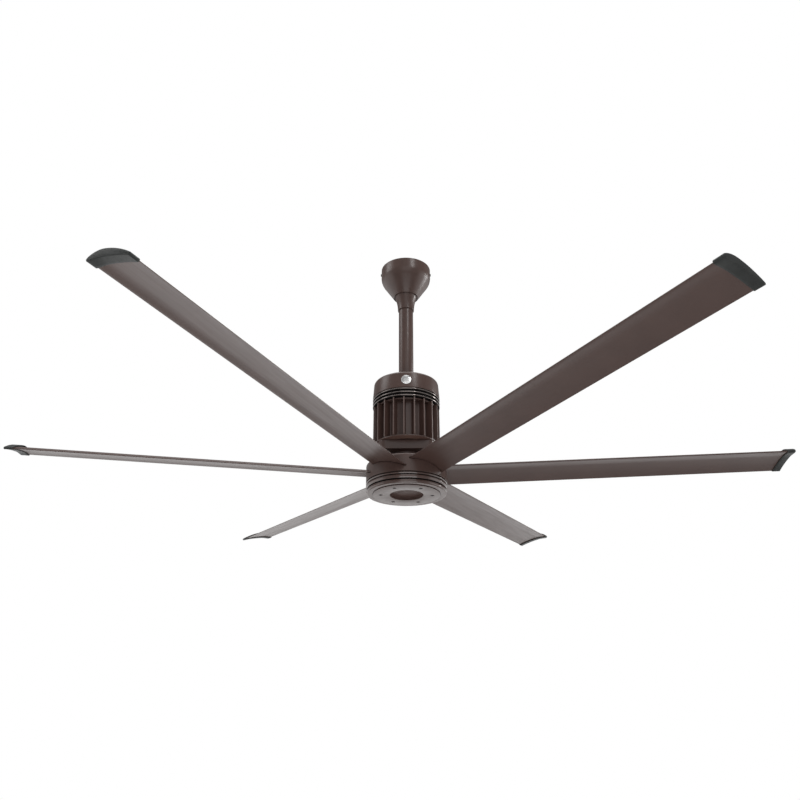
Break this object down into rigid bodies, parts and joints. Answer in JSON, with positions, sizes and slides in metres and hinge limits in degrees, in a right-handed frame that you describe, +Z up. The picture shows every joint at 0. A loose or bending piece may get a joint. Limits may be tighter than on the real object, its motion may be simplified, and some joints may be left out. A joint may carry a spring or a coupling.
{
  "type": "ceiling fan",
  "caption": "Ceiling fan with extruded aerofoil blades set in a slotted hub, under a finned motor housing on a short downrod with a round ceiling canopy.",
  "frame": {"origin": "centre of the ceiling bracket's top face, which lies on the ceiling", "axes": "+Z up into the ceiling along the rod and shaft, -Y towards the side with the badge, +X to the right of that side"},
  "size_m": [2.1352, 1.9434, 0.716],
  "materials": {
    "bronze_paint": "satin dark bronze powder paint",
    "blade_paint": "satin dark bronze paint on extruded aluminium",
    "polished_edge": "turned ridges, polished",
    "badge_silver": "bare silver disc",
    "dark_plastic": "moulded, fine grain",
    "zinc_steel": "zinc plated",
    "dark_screw": "dark plated",
    "bearing_steel": "ground and polished",
    "laminations": "stacked laminations",
    "copper_wire": "enamelled copper winding",
    "circuit_board": "board with parts",
    "magnet_steel": "nickel plated",
    "cast_aluminium": "as cast"
  },
  "bodies": {
    "ceiling_mount": {"ceiling_bracket": "zinc_steel", "canopy": "bronze_paint", "canopy_screw_right": "bronze_paint", "canopy_screw_left": "bronze_paint"},
    "motor_hanger": {"hanger_ball": "dark_plastic", "hanger_pin": "zinc_steel", "canopy_collar": "bronze_paint", "downrod": "bronze_paint", "rod_coupling": "zinc_steel", "coupling_pin": "zinc_steel", "top_cover": "bronze_paint", "badge_disc": "badge_silver", "ridge_ring": "polished_edge", "drive_board": "circuit_board", "motor_housing": "bronze_paint", "lower_motor_cover": "bronze_paint", "upper_bearing_outer": "bearing_steel", "lower_bearing_outer": "bearing_steel", "stator_core": "laminations", "stator_winding": "copper_wire"},
    "rotor": {"upper_bearing_inner": "bearing_steel", "lower_bearing_inner": "bearing_steel", "rotor_core": "laminations", "magnet_ring": "magnet_steel", "motor_shaft": "zinc_steel", "shaft_nut": "zinc_steel", "blade_carrier": "cast_aluminium", "hub_drum": "bronze_paint", "lower_ring": "bronze_paint", "bottom_plate": "bronze_paint", "centre_cap": "bronze_paint", "blade_1": "blade_paint", "blade_2": "blade_paint", "blade_3": "blade_paint", "blade_4": "blade_paint", "blade_5": "blade_paint", "blade_6": "blade_paint", "tip_cap_1": "dark_plastic", "tip_cap_2": "dark_plastic", "tip_cap_3": "dark_plastic", "tip_cap_4": "dark_plastic", "tip_cap_5": "dark_plastic", "tip_cap_6": "dark_plastic", "blade_arm_1": "cast_aluminium", "blade_arm_2": "cast_aluminium", "blade_arm_3": "cast_aluminium", "blade_arm_4": "cast_aluminium", "blade_arm_5": "cast_aluminium", "blade_arm_6": "cast_aluminium", "plate_screw_1": "dark_screw", "plate_screw_2": "dark_screw", "plate_screw_3": "dark_screw", "plate_screw_4": "dark_screw", "plate_screw_5": "dark_screw", "plate_screw_6": "dark_screw"}
  },
  "joints": [
    {"name": "hanger_swing", "type": "hinge", "parent": "ceiling_mount", "child": "motor_hanger", "pos_m": [0, 0, -0.044], "axis": [1, 0, 0], "range_deg": [-2, 2]},
    {"name": "rotor_spin", "type": "hinge", "parent": "motor_hanger", "child": "rotor", "pos_m": [0, 0, -0.66], "axis": [0, 0, 1], "continuous": true}
  ]
}
